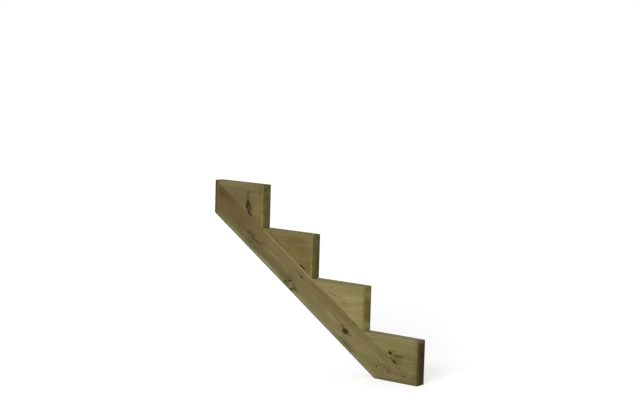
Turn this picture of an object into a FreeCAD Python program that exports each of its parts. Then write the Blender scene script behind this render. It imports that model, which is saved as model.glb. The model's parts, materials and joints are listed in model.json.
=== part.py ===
"""Stair stringer for outdoor steps, built up from planed, pressure-treated softwood.

A sloping spine board carries a saw-tooth of right-angled step blocks. The spine has a plumb cut at its
upper end, to stand against a deck, and a level cut at its foot, to stand on the ground. Each block is a
plank sawn across its diagonal: its level top seats a tread, its upright front seats a riser board, and
its long sawn face lies on the spine, where hidden dowels hold it.

Frame: millimetres, +Z up, +X down the stair towards the front, Y across the thickness. The origin is the
centre of the level cut at the foot. Every piece is drawn in the joint frame, whose X runs down the joint
between spine and blocks and whose Z stands square to it, and is then tipped by the pitch of the stair.
"""

import FreeCAD
import Part
import math
import os
import Sketcher

OUT_FOLDER = "parts"
UPWARDS = FreeCAD.Vector(0, 0, 1)

# Differences below this count as none when edges are picked by place and direction
SAME = 1e-6

# The driving dimensions: name, value in millimetres or as a plain count, and what it measures
SIZES = (
    ("steps", 4, "number of step blocks"),
    ("run", 250, "length of a block's level top, the going of one step"),
    ("rise", 170, "height of a block's upright front, the climb of one step"),
    ("thickness", 45, "planed thickness of spine and blocks"),
    ("spine_width", 110, "width of the spine, square to its length"),
    ("planed_arris", 5, "radius of the rounded edges left by the planer"),
    ("dowels_per_block", 2, "number of dowels under each block"),
    ("dowel_diameter", 16, "outside diameter of a dowel"),
    ("dowel_length", 80, "length of a dowel, half in the spine and half in the block"),
    ("dowel_chamfer", 2, "chamfer on each end of a dowel"),
    ("dowel_setback", 105, "from a block's upper tip to its first dowel, along the joint"),
    ("dowel_spacing", 110, "from one dowel of a block to the next"),
    ("dowel_clearance", 0.1, "gap between a dowel and the wall of its hole"),
    ("dowel_end_gap", 2, "glue space beyond each end of a dowel"),
)

# What follows from the driving dimensions, as expressions on the sheet
PITCH = "atan(Sizes.rise / Sizes.run)"
JOINT = "sqrt(Sizes.run ^ 2 + Sizes.rise ^ 2)"
FOOT = f"(Sizes.spine_width * {JOINT} / Sizes.rise)"
HOLE_RADIUS = "Sizes.dowel_diameter / 2 + Sizes.dowel_clearance"
HOLE_DEPTH = "Sizes.dowel_length / 2 + Sizes.dowel_end_gap"


def make_sheet(doc):
    """The spreadsheet of driving dimensions, one aliased cell for each."""
    sheet = doc.addObject("Spreadsheet::Sheet", "Sizes")
    for row, (name, value, meaning) in enumerate(SIZES, start=1):
        sheet.set(f"A{row}", meaning)
        sheet.set(f"B{row}", str(value))
        sheet.setAlias(f"B{row}", name)
    doc.recompute()
    return sheet


def new_body(doc, label, along):
    """A body in the joint frame, with its origin this far down the joint from the stringer's upper tip."""
    body = doc.addObject("PartDesign::Body", label)
    body.Label = label
    body.Placement.Rotation.Axis = FreeCAD.Vector(0, 1, 0)
    body.setExpression("Placement.Rotation.Angle", PITCH)
    body.setExpression("Placement.Base.x", f"{FOOT} / 2 - Sizes.steps * Sizes.run + ({along}) * cos({PITCH})")
    body.setExpression("Placement.Base.z", f"Sizes.steps * Sizes.rise - ({along}) * sin({PITCH})")
    return body


def origin_feature(body, role):
    """The body's own origin plane or axis with that role."""
    return next(f for f in body.Origin.OriginFeatures if f.Role == role)


def new_sketch(body, name, plane):
    """An empty sketch on one of the body's origin planes."""
    sketch = body.newObject("Sketcher::SketchObject", name)
    sketch.AttachmentSupport = (origin_feature(body, plane), [""])
    sketch.MapMode = "FlatFace"
    return sketch


def bind(sketch, name, expression, kind, *where):
    """Adds a dimension to the sketch at its present value and ties it to the sheet."""
    value = float(sketch.evalExpression(expression))
    sketch.renameConstraint(sketch.addConstraint(Sketcher.Constraint(kind, *where, value)), name)
    sketch.setExpression(f"Constraints.{name}", expression)


def draw_outline(sketch, corners):
    """A closed outline of straight lines through the corners, the first one pinned to the origin."""
    count = len(corners)
    points = [FreeCAD.Vector(x, z, 0) for x, z in corners]
    for i in range(count):
        sketch.addGeometry(Part.LineSegment(points[i], points[(i + 1) % count]))
    for i in range(count):
        sketch.addConstraint(Sketcher.Constraint("Coincident", i, 2, (i + 1) % count, 1))
    sketch.addConstraint(Sketcher.Constraint("Coincident", 0, 1, -1, 1))


def pad_both_ways(body, sketch, length):
    """A pad of the sketch, half its length to each side of the sketch's plane."""
    pad = body.newObject("PartDesign::Pad", "Blank")
    pad.Profile = sketch
    pad.SideType = "Symmetric"
    pad.setExpression("Length", length)
    return pad


def round_arrises(body, board, direction, lowest=-math.inf):
    """Rounds the board's edges that run in the given direction, no lower than a height, as planed."""
    names = []
    for number, edge in enumerate(board.Shape.Edges, start=1):
        first, last = (vertex.Point for vertex in edge.Vertexes)
        parallel = (last - first).normalize().cross(direction).Length < SAME
        if parallel and min(first.z, last.z) > lowest - SAME:
            names.append(f"Edge{number}")
    arris = body.newObject("PartDesign::Fillet", "PlanedArris")
    arris.Base = (board, names)
    arris.setExpression("Radius", "Sizes.planed_arris")


def drill_dowel_holes(body, sheet, upwards):
    """Blind holes for one block's dowels, drilled square to the joint from its face."""
    sketch = new_sketch(body, "DowelHoleCircles", "XY_Plane")
    for i in range(int(sheet.dowels_per_block)):
        centre = sheet.dowel_setback + i * sheet.dowel_spacing
        radius = sheet.dowel_diameter / 2 + sheet.dowel_clearance
        circle = sketch.addGeometry(Part.Circle(FreeCAD.Vector(centre, 0, 0), UPWARDS, radius))
        sketch.addConstraint(Sketcher.Constraint("PointOnObject", circle, 3, -1))
        bind(sketch, f"radius_{i}", HOLE_RADIUS, "Radius", circle)
        place = f"Sizes.dowel_setback + {i} * Sizes.dowel_spacing"
        bind(sketch, f"place_{i}", place, "DistanceX", -1, 1, circle, 3)
    holes = body.newObject("PartDesign::Pocket", "DowelHoles")
    holes.Profile = sketch
    holes.Reversed = upwards
    holes.setExpression("Length", HOLE_DEPTH)
    return holes


def repeat_along_joint(body, features, spacing, count):
    """Copies spaced along the joint: of the features given or, where there are none, of the whole body."""
    pattern = body.newObject("PartDesign::LinearPattern", "AlongJoint")
    pattern.Originals = features
    pattern.TransformMode = "Features" if features else "Whole shape"
    pattern.Direction = (origin_feature(body, "X_Axis"), [""])
    pattern.Mode = "Spacing"
    pattern.setExpression("Offset", spacing)
    pattern.setExpression("Occurrences", count)
    body.Tip = pattern


def build_spine(doc, sheet):
    """The sloping board: plumb cut at the top, level cut at the foot, dowel holes along its upper edge."""
    body = new_body(doc, "spine", "0")
    pitch = math.atan2(sheet.rise, sheet.run)
    length = sheet.steps * math.hypot(sheet.run, sheet.rise)
    width = sheet.spine_width
    sketch = new_sketch(body, "SpineOutline", "XZ_Plane")
    draw_outline(
        sketch,
        [
            (0, 0),
            (length, 0),
            (length - width / math.tan(pitch), -width),
            (width * math.tan(pitch), -width),
        ],
    )
    upper, level_cut, lower, plumb_cut = range(4)
    sketch.addConstraint(Sketcher.Constraint("Horizontal", upper))
    sketch.addConstraint(Sketcher.Constraint("Horizontal", lower))
    sketch.addConstraint(Sketcher.Constraint("Perpendicular", level_cut, plumb_cut))
    bind(sketch, "length", f"Sizes.steps * {JOINT}", "DistanceX", upper, 1, upper, 2)
    bind(sketch, "width", "Sizes.spine_width", "DistanceY", lower, 1, upper, 2)
    bind(sketch, "plumb", f"Sizes.spine_width * tan({PITCH})", "DistanceX", upper, 1, plumb_cut, 1)
    board = pad_both_ways(body, sketch, "Sizes.thickness")
    doc.recompute()
    round_arrises(body, board, FreeCAD.Vector(1, 0, 0))
    doc.recompute()
    holes = drill_dowel_holes(body, sheet, upwards=False)
    doc.recompute()
    repeat_along_joint(body, [holes], JOINT, "Sizes.steps")
    return body


def build_block(doc, sheet, number):
    """One step block, counted from the foot: a short planed plank, sawn off along its diagonal."""
    from_top = int(sheet.steps) - number
    body = new_body(doc, f"step_block_{number}", f"{from_top} * {JOINT}")
    pitch = math.atan2(sheet.rise, sheet.run)
    joint = math.hypot(sheet.run, sheet.rise)
    front_x, front_z = sheet.run * math.cos(pitch), sheet.run * math.sin(pitch)
    sketch = new_sketch(body, "PlankOutline", "XZ_Plane")
    draw_outline(
        sketch,
        [
            (0, 0),
            (front_x, front_z),
            (joint, 0),
            (joint - front_x, -front_z),
        ],
    )
    tread_seat, riser_face, waste_edge, waste_end = range(4)
    sketch.addConstraint(Sketcher.Constraint("PointOnObject", riser_face, 2, -1))
    sketch.addConstraint(Sketcher.Constraint("Perpendicular", tread_seat, riser_face))
    sketch.addConstraint(Sketcher.Constraint("Perpendicular", riser_face, waste_edge))
    sketch.addConstraint(Sketcher.Constraint("Perpendicular", waste_edge, waste_end))
    bind(sketch, "rise", "Sizes.rise", "Distance", riser_face)
    bind(sketch, "run", "Sizes.run", "Distance", tread_seat)
    plank = pad_both_ways(body, sketch, "Sizes.thickness")
    doc.recompute()
    round_arrises(body, plank, FreeCAD.Vector(math.cos(pitch), 0, math.sin(pitch)), lowest=0)
    doc.recompute()
    waste = new_sketch(body, "WasteHalf", "XZ_Plane")
    draw_outline(waste, [(0, 0), (joint, 0), (joint, -front_z), (0, -front_z)])
    saw_line, far_end, bottom, near_end = range(4)
    for level in (saw_line, bottom):
        waste.addConstraint(Sketcher.Constraint("Horizontal", level))
    for upright in (far_end, near_end):
        waste.addConstraint(Sketcher.Constraint("Vertical", upright))
    bind(waste, "length", JOINT, "DistanceX", saw_line, 1, saw_line, 2)
    bind(waste, "depth", "Sizes.run", "DistanceY", far_end, 2, far_end, 1)
    cut = body.newObject("PartDesign::Pocket", "SawCut")
    cut.Profile = waste
    cut.SideType = "Symmetric"
    cut.Type = "ThroughAll"
    doc.recompute()
    drill_dowel_holes(body, sheet, upwards=True)
    return body


def build_dowels(doc, sheet):
    """The dowels of every block, as one group of separate solids, centred on the joint."""
    body = new_body(doc, "joint_dowels", "Sizes.dowel_setback")
    body.AllowCompound = True
    sketch = new_sketch(body, "DowelCircle", "XY_Plane")
    sketch.addGeometry(Part.Circle(FreeCAD.Vector(), UPWARDS, sheet.dowel_diameter / 2))
    sketch.addConstraint(Sketcher.Constraint("Coincident", 0, 3, -1, 1))
    bind(sketch, "radius", "Sizes.dowel_diameter / 2", "Radius", 0)
    rod = pad_both_ways(body, sketch, "Sizes.dowel_length")
    doc.recompute()
    rims = [f"Edge{number}" for number, edge in enumerate(rod.Shape.Edges, start=1) if edge.isClosed()]
    chamfer = body.newObject("PartDesign::Chamfer", "EndChamfer")
    chamfer.Base = (rod, rims)
    chamfer.setExpression("Size", "Sizes.dowel_chamfer")
    doc.recompute()
    repeat_along_joint(body, [], "Sizes.dowel_spacing", "Sizes.dowels_per_block")
    doc.recompute()
    repeat_along_joint(body, [], JOINT, "Sizes.steps")
    return body


def check(doc, bodies):
    """Stops if a feature failed or a piece has no sound shape."""
    failed = [o.Name for o in doc.Objects if {"Invalid", "Error"} & set(o.State)]
    if failed:
        raise RuntimeError(f"failed features: {failed}")
    for body in bodies:
        if body.Shape.isNull() or not body.Shape.isValid() or not body.Shape.Solids:
            raise RuntimeError(f"{body.Label} has no sound solid")


def main():
    doc = FreeCAD.newDocument("stair_stringer")
    sheet = make_sheet(doc)
    bodies = [build_spine(doc, sheet)]
    bodies += [build_block(doc, sheet, number) for number in range(1, int(sheet.steps) + 1)]
    bodies.append(build_dowels(doc, sheet))
    doc.recompute()
    check(doc, bodies)
    os.makedirs(OUT_FOLDER, exist_ok=True)
    for body in bodies:
        body.Shape.exportStep(os.path.join(OUT_FOLDER, f"{body.Label}.step"))
        box = body.Shape.optimalBoundingBox()
        print(
            f"{body.Label}: {len(body.Shape.Solids)} solid(s), {body.Shape.Volume / 1000:.2f} cm3,"
            f" x {box.XMin:.2f} to {box.XMax:.2f}, y {box.YMin:.2f} to {box.YMax:.2f},"
            f" z {box.ZMin:.2f} to {box.ZMax:.2f}"
        )


main()
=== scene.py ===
# %% [markdown]
# # A stair stringer of treated pine
# The part is a built-up stringer: one sloping spine board, with four step blocks standing on its upper edge.
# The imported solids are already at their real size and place. This scene dresses them as sawn and planed
# wood: rounded arrises, torn saw edges, knots, drying checks, and grain that runs the right way in every
# board.

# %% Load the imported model
import json
import math

import bpy
from mathutils import Matrix, Vector

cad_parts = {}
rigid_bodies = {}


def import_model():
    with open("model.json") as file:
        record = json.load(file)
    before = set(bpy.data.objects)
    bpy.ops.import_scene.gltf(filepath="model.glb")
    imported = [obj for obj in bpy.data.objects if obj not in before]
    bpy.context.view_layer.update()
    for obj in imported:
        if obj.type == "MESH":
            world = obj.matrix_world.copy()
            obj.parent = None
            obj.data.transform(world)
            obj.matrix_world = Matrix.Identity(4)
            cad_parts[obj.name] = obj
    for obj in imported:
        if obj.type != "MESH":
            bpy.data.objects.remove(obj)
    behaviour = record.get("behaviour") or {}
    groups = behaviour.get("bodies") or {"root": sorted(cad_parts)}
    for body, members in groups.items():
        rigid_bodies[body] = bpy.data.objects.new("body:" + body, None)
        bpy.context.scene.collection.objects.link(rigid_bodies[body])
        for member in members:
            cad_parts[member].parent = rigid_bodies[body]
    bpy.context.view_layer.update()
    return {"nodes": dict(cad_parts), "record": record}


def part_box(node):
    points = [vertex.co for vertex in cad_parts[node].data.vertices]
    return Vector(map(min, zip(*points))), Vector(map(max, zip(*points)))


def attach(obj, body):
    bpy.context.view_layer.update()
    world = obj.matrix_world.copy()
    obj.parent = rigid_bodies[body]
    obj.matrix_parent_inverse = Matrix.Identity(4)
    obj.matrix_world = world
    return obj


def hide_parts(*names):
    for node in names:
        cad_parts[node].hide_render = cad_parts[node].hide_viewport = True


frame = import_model()
print("solids:", sorted(frame["nodes"]))

# %% [markdown]
# ## Measure the stair
# A carpenter sets a stringer out from its run, its rise and the width of its boards. They could be typed in
# again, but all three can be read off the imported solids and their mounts, so no size of the stair is written
# down twice.

# %% Read the sizes
mounts = {mount["name"]: Vector(mount["pos_m"]) for mount in frame["record"]["mounts"]}
block_names = sorted(name for name in frame["nodes"] if name.startswith("step_block_"))
block_low, block_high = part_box(block_names[0])
spine_low, spine_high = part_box("spine")

RUN = block_high.x - block_low.x
RISE = block_high.z - block_low.z
THICKNESS = block_high.y - block_low.y
JOINT = math.hypot(RUN, RISE)
PITCH = math.atan2(RISE, RUN)
# The deck mount lies in the middle of the plumb cut
PLUMB_CUT = 2 * (spine_high.z - mounts["deck_face"].z)
SPINE_WIDTH = PLUMB_CUT * math.cos(PITCH)
SPINE_LENGTH = JOINT * len(block_names)
UPPER_TIP = Vector((spine_low.x, 0, spine_high.z))
print(f"run {RUN:.3f} m, rise {RISE:.3f} m, spine {SPINE_WIDTH:.3f} by {THICKNESS:.3f} m")

# %% [markdown]
# ## The camera
# The photograph was taken from the front right of the stair, a little above its top, with a long lens. The
# camera could be placed by its position and three angles, but it is easier to aim by azimuth, elevation and
# roll about a point over the middle of the stair, because each number can then be read by itself.

# %% Place the camera
VIEW_AZIMUTH = math.radians(37.33)
VIEW_ELEVATION = math.radians(6.35)
VIEW_ROLL = math.radians(1.69)
VIEW_DISTANCE = 6.047
VIEW_AIM = Vector((-0.3740, -0.0225, 0.6466))
LENS_MM = 89.41
SENSOR_MM = 36

camera = bpy.data.objects.new("camera", bpy.data.cameras.new("camera"))
bpy.context.scene.collection.objects.link(camera)
camera.data.lens = LENS_MM
camera.data.sensor_width = SENSOR_MM
turn = Matrix.Rotation(VIEW_AZIMUTH, 4, "Z") @ Matrix.Rotation(math.pi / 2 - VIEW_ELEVATION, 4, "X")
turn = turn @ Matrix.Rotation(VIEW_ROLL, 4, "Z")
back = turn.to_3x3() @ Vector((0, 0, VIEW_DISTANCE))
camera.matrix_world = Matrix.Translation(VIEW_AIM + back) @ turn
bpy.context.scene.camera = camera
print("camera at", [round(c, 3) for c in camera.matrix_world.translation])

# %% [markdown]
# ## Working by hand in code
# Each operator acts on whatever is selected, so these helpers first clear the selection, then pick edges by
# where they lie, as a modeller would with the mouse.

# %% Selection helpers


def select_only(piece):
    """Leaves the piece selected and active in object mode, and nothing else."""
    if bpy.context.mode != "OBJECT":
        bpy.ops.object.mode_set(mode="OBJECT")
    bpy.ops.object.select_all(action="DESELECT")
    piece.select_set(True)
    bpy.context.view_layer.objects.active = piece


def select_edges(piece, wanted):
    """Leaves the piece in edit mode with the edges selected whose two ends pass the test."""
    select_only(piece)
    bpy.ops.object.mode_set(mode="EDIT")
    bpy.ops.mesh.select_mode(type="EDGE")
    bpy.ops.mesh.select_all(action="DESELECT")
    bpy.ops.object.mode_set(mode="OBJECT")
    points = [vertex.co.copy() for vertex in piece.data.vertices]
    for edge in piece.data.edges:
        edge.select = wanted(points[edge.vertices[0]], points[edge.vertices[1]])
    bpy.ops.object.mode_set(mode="EDIT")


def report(piece, step):
    """Leaves edit mode and prints what a step made."""
    bpy.ops.object.mode_set(mode="OBJECT")
    print(f"{piece.name}, {step}: {len(piece.data.polygons)} faces")


# %% [markdown]
# ## A planed blank
# Every board starts as planed timber: a cuboid whose long edges the planer has rounded. A rounded outline
# could be drawn and extruded, but it is closer to the planer to scale a cube to the board and bevel its long
# edges. Only then is anything sawn, so that saw cuts stay sharp.

# %% Plane a blank
ARRIS = 0.005
ARRIS_SEGMENTS = 5
ARRIS_ROUND = 0.5
SAME = 1e-5
NEARLY_PARALLEL = 0.999


def runs_along(direction):
    """A test for edges that run in one direction."""
    return lambda a, b: abs((b - a).normalized().dot(direction)) > NEARLY_PARALLEL


def planed_blank(name, length, width, lower_too):
    """A board along X with its upper edge at z = 0.

    Its two upper long edges are rounded, and its two lower ones too if asked.
    """
    bpy.ops.object.select_all(action="DESELECT")
    middle = (length / 2, 0, -width / 2)
    bpy.ops.mesh.primitive_cube_add(size=1, location=middle, scale=(length, THICKNESS, width))
    board = bpy.context.object
    board.name = name
    board.data.name = name
    bpy.ops.object.transform_apply(location=True, rotation=True, scale=True)
    long_edge = runs_along(Vector((1, 0, 0)))
    select_edges(board, lambda a, b: long_edge(a, b) and (lower_too or a.z > -SAME))
    bpy.ops.mesh.bevel(offset=ARRIS, segments=ARRIS_SEGMENTS, profile=ARRIS_ROUND, affect="EDGES")
    report(board, "planed")
    return board


# %% [markdown]
# ## Sawing and easing
# A saw cut could be a Boolean with a large block, but a bisect that throws one side away and fills the cut
# leaves a single flat face. Real sawn edges are never perfectly sharp: handling breaks the corner by less
# than a millimetre, so each cut gets a tiny bevel that catches the light.

# %% Saw cuts
CUT_TOLERANCE = SAME / 10
EASED = 0.0007
EASED_SEGMENTS = 2
EASED_ROUND = 0.6


def stand(board, place, tilt):
    """Turns the board down by an angle about Y and moves it to its place, with its object at the origin."""
    select_only(board)
    board.rotation_euler = (0, tilt, 0)
    board.location = place
    bpy.ops.object.transform_apply(location=True, rotation=True, scale=True)


def saw(board, point, normal):
    """Saws the board through a plane, and keeps the side that the normal points to."""
    select_only(board)
    bpy.ops.object.mode_set(mode="EDIT")
    bpy.ops.mesh.select_all(action="SELECT")
    bpy.ops.mesh.bisect(
        plane_co=point, plane_no=normal, use_fill=True, clear_inner=True, threshold=CUT_TOLERANCE
    )
    report(board, "sawn")


def ease(board, planes):
    """Breaks the edges that lie in the given planes."""

    def sawn(a, b):
        return any(abs((a - p).dot(n)) < SAME and abs((b - p).dot(n)) < SAME for p, n in planes)

    select_edges(board, sawn)
    bpy.ops.mesh.bevel(
        offset=EASED, segments=EASED_SEGMENTS, profile=EASED_ROUND, affect="EDGES", clamp_overlap=True
    )
    report(board, "eased")


# %% [markdown]
# ## The spine
# The spine is one long board on the slope. Its outline could be drawn and extruded, but then the rounded
# arrises would have to be led into the slanting ends. So the whole blank is tipped to the pitch of the stair
# first and sawn afterwards, plumb at the deck and level at the foot, which is how it is set out on site.

# %% Saw the spine
spine = planed_blank("spine_board", SPINE_LENGTH, SPINE_WIDTH, lower_too=True)
stand(spine, UPPER_TIP, PITCH)
plumb_plane = (UPPER_TIP, Vector((1, 0, 0)))
level_plane = (Vector((0, 0, 0)), Vector((0, 0, 1)))
saw(spine, *plumb_plane)
saw(spine, *level_plane)
ease(spine, [plumb_plane, level_plane])

# %% [markdown]
# ### Dividing the spine
# The gouges that come later cut cleaner into small faces than into one long face. The long edges are divided
# first, which gives rows of quads from end to end, and then the edges across the two broad faces and the two
# narrow ones.

# %% Divide the spine
GRAIN_DOWN = Vector((math.cos(PITCH), 0, -math.sin(PITCH)))
ROW_CUTS = 99
SIDE_CUTS = 19
EDGE_CUTS = 6
NEARLY_ALL = 0.95

select_edges(spine, runs_along(GRAIN_DOWN))
bpy.ops.mesh.subdivide(number_cuts=ROW_CUTS)
# One go makes at most 100 cuts, so a second one halves what the first one left
select_edges(spine, runs_along(GRAIN_DOWN))
bpy.ops.mesh.subdivide(number_cuts=1)
for span, cuts in ((SPINE_WIDTH - 2 * ARRIS, SIDE_CUTS), (THICKNESS - 2 * ARRIS, EDGE_CUTS)):
    select_edges(spine, lambda a, b: (b - a).length > NEARLY_ALL * span)
    bpy.ops.mesh.subdivide(number_cuts=cuts)
report(spine, "divided")

# %% [markdown]
# ## The step blocks
# A block is a short plank ripped across its diagonal. Only its two upper long edges keep the planer's round;
# the ripped edges and the front are just eased. It is divided by equal numbers of cuts in both directions, so
# the grid runs into the diagonal without slivers. Four blocks could be sawn one by one, but they are alike,
# so one is modelled, at the top of the stair, and copied down the joint.

# %% Saw one block
SQUARE_TO_JOINT = Vector((math.sin(PITCH), 0, math.cos(PITCH)))
STEP = Vector((RUN, 0, -RISE))

top_block = planed_blank(f"step_{len(block_names)}", RUN, RISE, lower_too=False)
stand(top_block, UPPER_TIP, 0)
rip_plane = (UPPER_TIP, SQUARE_TO_JOINT)
front_plane = (UPPER_TIP + STEP, Vector((1, 0, 0)))
saw(top_block, *rip_plane)
ease(top_block, [rip_plane, front_plane])

# %% Divide the block
GRID_PARTS = 50

bpy.ops.object.mode_set(mode="EDIT")
for axis in (Vector((1, 0, 0)), Vector((0, 0, 1))):
    for i in range(1, GRID_PARTS):
        cut = UPPER_TIP + STEP * i / GRID_PARTS
        bpy.ops.mesh.select_all(action="SELECT")
        bpy.ops.mesh.bisect(plane_co=cut, plane_no=axis, threshold=CUT_TOLERANCE)
report(top_block, "divided")

# %% Copy it down the joint
blocks = [top_block]
tips = [UPPER_TIP]
for number in range(len(block_names) - 1, 0, -1):
    select_only(blocks[0])
    bpy.ops.object.duplicate(linked=False)
    lower_block = bpy.context.object
    lower_block.name = f"step_{number}"
    lower_block.data.name = lower_block.name
    stand(lower_block, STEP, 0)
    blocks.insert(0, lower_block)
    tips.insert(0, tips[0] + STEP)
print("blocks:", [block.name for block in blocks])

# %% [markdown]
# ## A node kit
# Long node trees are hard to read in code. This small kit adds one node per call and links or sets each of
# its inputs, so the finishes below read like formulas. The limits of a fade are kept together as one named
# value: the low and the high end, and then what it goes from and to, unless that is 0 to 1.

# %% Node kit
SRGB_OFFSET = 0.055
SRGB_SCALE = 1.055
SRGB_POWER = 2.4
# The Mix node has sockets for every kind of data. These are the ones for colours
MIX_SHARE, MIX_FIRST, MIX_SECOND, MIX_RESULT = 0, 6, 7, 2


def paint(red, green, blue):
    """A colour as a paint programme gives it, 0 to 255, made linear for the shader."""
    return (*(pow((c / 255 + SRGB_OFFSET) / SRGB_SCALE, SRGB_POWER) for c in (red, green, blue)), 1)


class Nodes:
    """Adds nodes to one tree. A value is a number, a vector, a colour or another node's output."""

    def __init__(self, tree):
        self.tree = tree

    def feed(self, socket, value):
        """Links or sets one input."""
        if isinstance(value, bpy.types.NodeSocket):
            self.tree.links.new(value, socket)
        else:
            socket.default_value = value

    def add(self, kind, inputs, **settings):
        """Adds a node, with its settings and its inputs."""
        node = self.tree.nodes.new(kind)
        for name, value in settings.items():
            setattr(node, name, value)
        for key, value in inputs.items():
            self.feed(node.inputs[key], value)
        return node

    def math(self, operation, first, second=0.0, third=0.0):
        inputs = {0: first, 1: second, 2: third}
        return self.add("ShaderNodeMath", inputs, operation=operation).outputs[0]

    def times(self, first, second):
        return self.math("MULTIPLY", first, second)

    def vector(self, operation, first, second):
        return self.add("ShaderNodeVectorMath", {0: first, 1: second}, operation=operation).outputs[0]

    def measure(self, operation, first, second=(0, 0, 0)):
        """A vector operation that gives one number, such as a length."""
        return self.add("ShaderNodeVectorMath", {0: first, 1: second}, operation=operation).outputs["Value"]

    def split(self, vector):
        """The three parts of a vector."""
        return self.add("ShaderNodeSeparateXYZ", {0: vector}).outputs

    def between(self, value, low, high, first=0.0, last=1.0):
        """Eases from first to last while the value goes from low to high."""
        inputs = {"Value": value, "From Min": low, "From Max": high, "To Min": first, "To Max": last}
        return self.add("ShaderNodeMapRange", inputs, interpolation_type="SMOOTHSTEP").outputs[0]

    def noise(self, vector, lumps, detail=2.0, roughness=0.5):
        """Noise whose lumps have the given size along the three axes of the vector."""
        scaled = self.vector("DIVIDE", vector, lumps)
        inputs = {"Vector": scaled, "Scale": 1.0, "Detail": detail, "Roughness": roughness}
        return self.add("ShaderNodeTexNoise", inputs).outputs[0]

    def mix(self, share, first, second, blend="MIX"):
        """A share of the second colour over the first."""
        inputs = {MIX_SHARE: share, MIX_FIRST: first, MIX_SECOND: second}
        return self.add("ShaderNodeMix", inputs, data_type="RGBA", blend_type=blend).outputs[MIX_RESULT]

    def shade(self, colour, tone):
        """The colour made lighter or darker by a tone that varies about 1."""
        grey = self.add("ShaderNodeCombineColor", {0: tone, 1: tone, 2: tone}).outputs[0]
        return self.mix(1.0, colour, grey, "MULTIPLY")

    def group(self, tree, inputs):
        """Places a group, and gives its outputs."""
        return self.add("ShaderNodeGroup", inputs, node_tree=tree).outputs


# %% Groups and finishes


def new_group(name, inputs, outputs):
    """An empty group with named sockets: a kit for its tree, its inputs, and what takes its outputs."""
    tree = bpy.data.node_groups.new(name, "ShaderNodeTree")
    for socket, kind in inputs.items():
        tree.interface.new_socket(socket, in_out="INPUT", socket_type=f"NodeSocket{kind}")
    for socket, kind in outputs.items():
        tree.interface.new_socket(socket, in_out="OUTPUT", socket_type=f"NodeSocket{kind}")
    return Nodes(tree), tree.nodes.new("NodeGroupInput").outputs, tree.nodes.new("NodeGroupOutput").inputs


def new_finish(name):
    """A new material: itself, a kit for its tree, and the inputs of its shader."""
    material = bpy.data.materials.new(name)
    material.use_nodes = True
    return material, Nodes(material.node_tree), material.node_tree.nodes["Principled BSDF"].inputs


def add_bump(kit, shader, height, strength, distance):
    """Lets the light see a relief too fine to model."""
    bump = kit.add("ShaderNodeBump", {"Height": height, "Strength": strength, "Distance": distance})
    kit.feed(shader["Normal"], bump.outputs[0])


# %% [markdown]
# ## Growth rings
# Wood is a solid texture: the rings are cylinders about the pith of the trunk, and a face shows whatever it
# cuts through. Stripes could be painted on each face, but they would not meet at the edges. So the rings are
# worked out in the board's own coordinates, in millimetres: along the grain, through the thickness, and
# across the width. Flat faces then show flames, edges show stripes and ends show arcs, all from one formula,
# and the three agree where they meet.

# %% Ring group
RING_MM = 4.2
WANDER_MM = 24
WANDER_LUMPS = (260, 70, 70)
STREAK_LUMPS = (240, 9, 9)
FIBRE_LUMPS = (40, 0.9, 0.9)
BLOTCH_LUMPS = (120, 45, 45)
# The axes of a board, and a factor that leaves out the first
ALONG, THROUGH, ACROSS = 0, 1, 2
ACROSS_GRAIN = (0, 1, 1)
# Through a year the wood darkens slowly, and pales at once where the next year starts
DARKENS = (0.25, 0.88)
PALES = (0.9, 1.0, 1, 0)
LEANEST_YEAR = 0.4

kit, given, gives = new_group(
    "growth_rings",
    {"Board": "Vector", "Pith": "Vector", "Slope": "Float", "Swell": "Float"},
    {"Radius": "Float", "Latewood": "Float", "Streak": "Float", "Fibre": "Float", "Blotch": "Float"},
)
wander = kit.noise(given["Board"], WANDER_LUMPS, detail=3)
from_pith = kit.vector("SUBTRACT", given["Board"], given["Pith"])
radius = kit.measure("LENGTH", kit.vector("MULTIPLY", from_pith, ACROSS_GRAIN))
radius = kit.math("MULTIPLY_ADD", wander, WANDER_MM, radius)
radius = kit.math("MULTIPLY_ADD", kit.split(from_pith)[ALONG], given["Slope"], radius)
radius = kit.math("ADD", radius, given["Swell"])
years = kit.math("DIVIDE", radius, RING_MM)
season = kit.math("FRACT", years)
summer = kit.times(kit.between(season, *DARKENS), kit.between(season, *PALES))
year = kit.math("FLOOR", years)
growth = kit.add("ShaderNodeTexWhiteNoise", {"W": year}, noise_dimensions="1D").outputs[0]
kit.feed(gives["Latewood"], kit.times(summer, kit.between(growth, 0, 1, LEANEST_YEAR, 1)))
kit.feed(gives["Radius"], radius)
kit.feed(gives["Streak"], kit.noise(given["Board"], STREAK_LUMPS, detail=3, roughness=0.6))
kit.feed(gives["Fibre"], kit.noise(given["Board"], FIBRE_LUMPS, detail=3, roughness=0.65))
kit.feed(gives["Blotch"], kit.noise(given["Board"], BLOTCH_LUMPS, detail=2))
growth_rings = kit.tree
print("growth rings:", len(growth_rings.nodes), "nodes")

# %% [markdown]
# ## Knots and stains
# A knot is a branch that the trunk grew round. Seen on a face it is a dark oval with its own rings and a
# darker rim, and the rings of the trunk swell to pass it. A stain is a soft patch where the preservative or
# the weather took more or less. Both could be painted in an image, but an oval in the board's own
# coordinates stays sharp and runs on round the edges. Knot and stain share the oval, and a board can chain
# as many as it has.

# %% Knot group
OVAL = {"Board": "Vector", "Place": "Vector", "Size": "Vector", "Turn": "Float"}
# A factor that leaves out how deep a point lies
ON_FACE = (1, 0, 1)
NOISE_MIDDLE = 0.5
KNOT_EDGE_LUMPS = (9, 12, 9)
KNOT_EDGE_TEAR = 0.9
CORE_ENDS = (0.75, 1.0, 1, 0)
RIM_STARTS = (0.76, 0.96)
RIM_ENDS = (0.96, 1.14, 1, 0)
RIM_LUMPS = (14, 20, 14)
RIM_BREAKS = (0.38, 0.56)
KNOT_RINGS = 5
HALO_FALL = -0.32


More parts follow.
